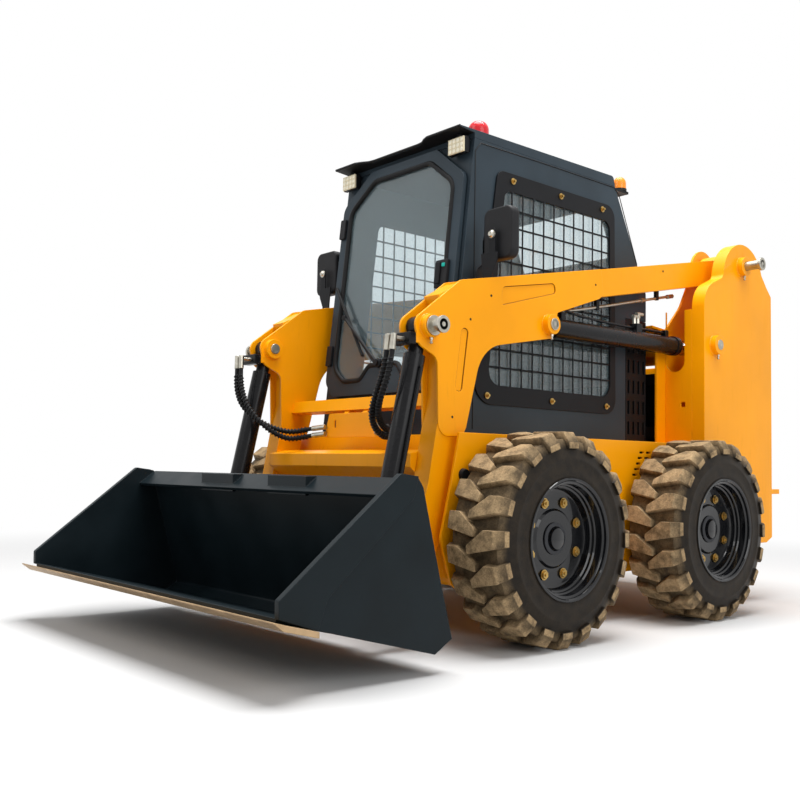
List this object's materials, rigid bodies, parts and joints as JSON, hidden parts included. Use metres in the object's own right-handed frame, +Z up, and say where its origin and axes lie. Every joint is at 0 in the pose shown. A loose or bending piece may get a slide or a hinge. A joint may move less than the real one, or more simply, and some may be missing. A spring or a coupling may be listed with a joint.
{
  "type": "skid steer loader",
  "caption": "Compact wheeled loader with a caged cab between two lift arms, rear pivot towers, a front bucket and solid-lug tyres.",
  "frame": {"origin": "on the ground under the middle of the machine's whole length and width", "axes": "+Y to the rear, the bucket faces -Y; +X to the machine's left; +Z up"},
  "size_m": [1.812, 3.245, 2.0852],
  "materials": {
    "machine_yellow": "semi-gloss enamel",
    "cab_slate": "satin powder coat",
    "frame_black": "satin paint",
    "bucket_blue_black": "satin paint",
    "worn_steel": "worn bare steel",
    "zinc_steel": "zinc plated",
    "cylinder_black": "satin paint",
    "rod_chrome": "hard chrome",
    "cast_grey": "rough casting",
    "tyre_rubber": "matte, dusty lugs",
    "rim_black": "gloss enamel",
    "window_glass": "tinted, clear",
    "black_rubber": "matte",
    "moulded_black": "fine grain",
    "seat_vinyl": "grained vinyl",
    "lamp_lens": "clear lens",
    "beacon_red": "clear red",
    "lamp_orange": "clear orange"
  },
  "bodies": {
    "machine": {"chassis_frame": "machine_yellow", "tower_left": "machine_yellow", "tower_right": "machine_yellow", "axle_housings": "frame_black", "engine_block": "cast_grey", "cab_sides": "cab_slate", "side_windows": "window_glass", "window_guards": "cab_slate", "vent_panels": "frame_black", "cab_roof": "cab_slate", "cab_front": "cab_slate", "cab_rear": "cab_slate", "rear_window": "window_glass", "cab_floor": "frame_black", "seat": "seat_vinyl", "control_pods": "moulded_black", "work_lights": "lamp_lens", "beacon": "beacon_red", "corner_lamps": "lamp_orange", "rubber_stops": "black_rubber", "tower_plates": "machine_yellow", "tower_ends": "machine_yellow"},
    "boom": {"lift_arm_left": "machine_yellow", "lift_arm_right": "machine_yellow", "cross_bars": "machine_yellow", "hose_guard": "machine_yellow", "arm_pins": "zinc_steel", "mirrors": "moulded_black", "hose_fittings": "zinc_steel", "tilt_hose_left_a": "black_rubber", "tilt_hose_left_b": "black_rubber", "tilt_hose_right_a": "black_rubber", "tilt_hose_right_b": "black_rubber"},
    "bucket": {"bucket_shell": "bucket_blue_black", "cutting_edge": "worn_steel", "quick_hitch": "bucket_blue_black"},
    "cab_door": {"door_frame": "cab_slate", "door_glass": "window_glass", "door_fittings": "moulded_black"},
    "hood": {"engine_hood": "machine_yellow"},
    "engine_door": {"rear_door": "machine_yellow"},
    "tilt_cylinder_left": {"tilt_barrel_left": "cylinder_black"},
    "tilt_piston_left": {"tilt_rod_left": "rod_chrome"},
    "lift_cylinder_left": {"lift_barrel_left": "cylinder_black"},
    "lift_piston_left": {"lift_rod_left": "rod_chrome"},
    "tilt_cylinder_right": {"tilt_barrel_right": "cylinder_black"},
    "tilt_piston_right": {"tilt_rod_right": "rod_chrome"},
    "lift_cylinder_right": {"lift_barrel_right": "cylinder_black"},
    "lift_piston_right": {"lift_rod_right": "rod_chrome"},
    "wheel_front_left": {"tyre_front_left": "tyre_rubber", "rim_front_left": "rim_black"},
    "wheel_front_right": {"tyre_front_right": "tyre_rubber", "rim_front_right": "rim_black"},
    "wheel_rear_left": {"tyre_rear_left": "tyre_rubber", "rim_rear_left": "rim_black"},
    "wheel_rear_right": {"tyre_rear_right": "tyre_rubber", "rim_rear_right": "rim_black"}
  },
  "joints": [
    {"name": "boom_lift", "type": "hinge", "parent": "machine", "child": "boom", "pos_m": [0, 1.2495, 1.642], "axis": [-1, 0, 0], "range_deg": [0, 64]},
    {"name": "bucket_tilt", "type": "hinge", "parent": "boom", "child": "bucket", "pos_m": [0, -0.7925, 0.19], "axis": [1, 0, 0], "range_deg": [-15, 119]},
    {"name": "cab_door_swing", "type": "hinge", "parent": "machine", "child": "cab_door", "pos_m": [-0.392, -0.53533, 0.76809], "axis": [0, -0.1103, -0.9939], "range_deg": [0, 80]},
    {"name": "hood_lift", "type": "hinge", "parent": "machine", "child": "hood", "pos_m": [0, 0.8215, 1.33], "axis": [1, 0, 0], "range_deg": [0, 30]},
    {"name": "engine_door_swing", "type": "hinge", "parent": "machine", "child": "engine_door", "pos_m": [0.431, 1.5655, 0.8], "axis": [0, 0, -1], "range_deg": [0, 100]},
    {"name": "tilt_barrel_pivot_left", "type": "hinge", "parent": "boom", "child": "tilt_cylinder_left", "pos_m": [0.495, -0.7455, 1.139], "axis": [1, 0, 0], "range_deg": [-0.5, 3.6]},
    {"name": "tilt_rod_slide_left", "type": "slide", "parent": "tilt_cylinder_left", "child": "tilt_piston_left", "axis": [0, -0.221, -0.9753], "range_m": [-0.049, 0.383]},
    {"name": "lift_barrel_pivot_left", "type": "hinge", "parent": "boom", "child": "lift_cylinder_left", "pos_m": [0.495, -0.0825, 1.218], "axis": [-1, 0, 0], "range_deg": [-0.2, 2]},
    {"name": "lift_rod_slide_left", "type": "slide", "parent": "lift_cylinder_left", "child": "lift_piston_left", "axis": [0, 0.9999, 0.0129], "range_m": [-0.002, 0.512]},
    {"name": "tilt_barrel_pivot_right", "type": "hinge", "parent": "boom", "child": "tilt_cylinder_right", "pos_m": [-0.495, -0.7455, 1.139], "axis": [1, 0, 0], "range_deg": [-0.5, 3.6]},
    {"name": "tilt_rod_slide_right", "type": "slide", "parent": "tilt_cylinder_right", "child": "tilt_piston_right", "axis": [0, -0.221, -0.9753], "range_m": [-0.049, 0.383]},
    {"name": "lift_barrel_pivot_right", "type": "hinge", "parent": "boom", "child": "lift_cylinder_right", "pos_m": [-0.495, -0.0825, 1.218], "axis": [-1, 0, 0], "range_deg": [-0.2, 2]},
    {"name": "lift_rod_slide_right", "type": "slide", "parent": "lift_cylinder_right", "child": "lift_piston_right", "axis": [0, 0.9999, 0.0129], "range_m": [-0.002, 0.512]},
    {"name": "wheel_front_left_spin", "type": "hinge", "parent": "machine", "child": "wheel_front_left", "pos_m": [0.7355, -0.3425, 0.38709], "axis": [1, 0, 0], "continuous": true},
    {"name": "wheel_front_right_spin", "type": "hinge", "parent": "machine", "child": "wheel_front_right", "pos_m": [-0.7355, -0.3425, 0.38709], "axis": [1, 0, 0], "continuous": true},
    {"name": "wheel_rear_left_spin", "type": "hinge", "parent": "machine", "child": "wheel_rear_left", "pos_m": [0.7355, 0.7075, 0.38709], "axis": [1, 0, 0], "continuous": true},
    {"name": "wheel_rear_right_spin", "type": "hinge", "parent": "machine", "child": "wheel_rear_right", "pos_m": [-0.7355, 0.7075, 0.38709], "axis": [1, 0, 0], "continuous": true}
  ],
  "couplings": [
    {"joint": "tilt_barrel_pivot_left", "follows": "bucket_tilt", "ratio": 0.03},
    {"joint": "tilt_rod_slide_left", "follows": "bucket_tilt", "m_per_rad": 0.184},
    {"joint": "lift_barrel_pivot_left", "follows": "boom_lift", "ratio": 0.025},
    {"joint": "lift_rod_slide_left", "follows": "boom_lift", "m_per_rad": 0.454},
    {"joint": "tilt_barrel_pivot_right", "follows": "bucket_tilt", "ratio": 0.03},
    {"joint": "tilt_rod_slide_right", "follows": "bucket_tilt", "m_per_rad": 0.184},
    {"joint": "lift_barrel_pivot_right", "follows": "boom_lift", "ratio": 0.025},
    {"joint": "lift_rod_slide_right", "follows": "boom_lift", "m_per_rad": 0.454}
  ]
}
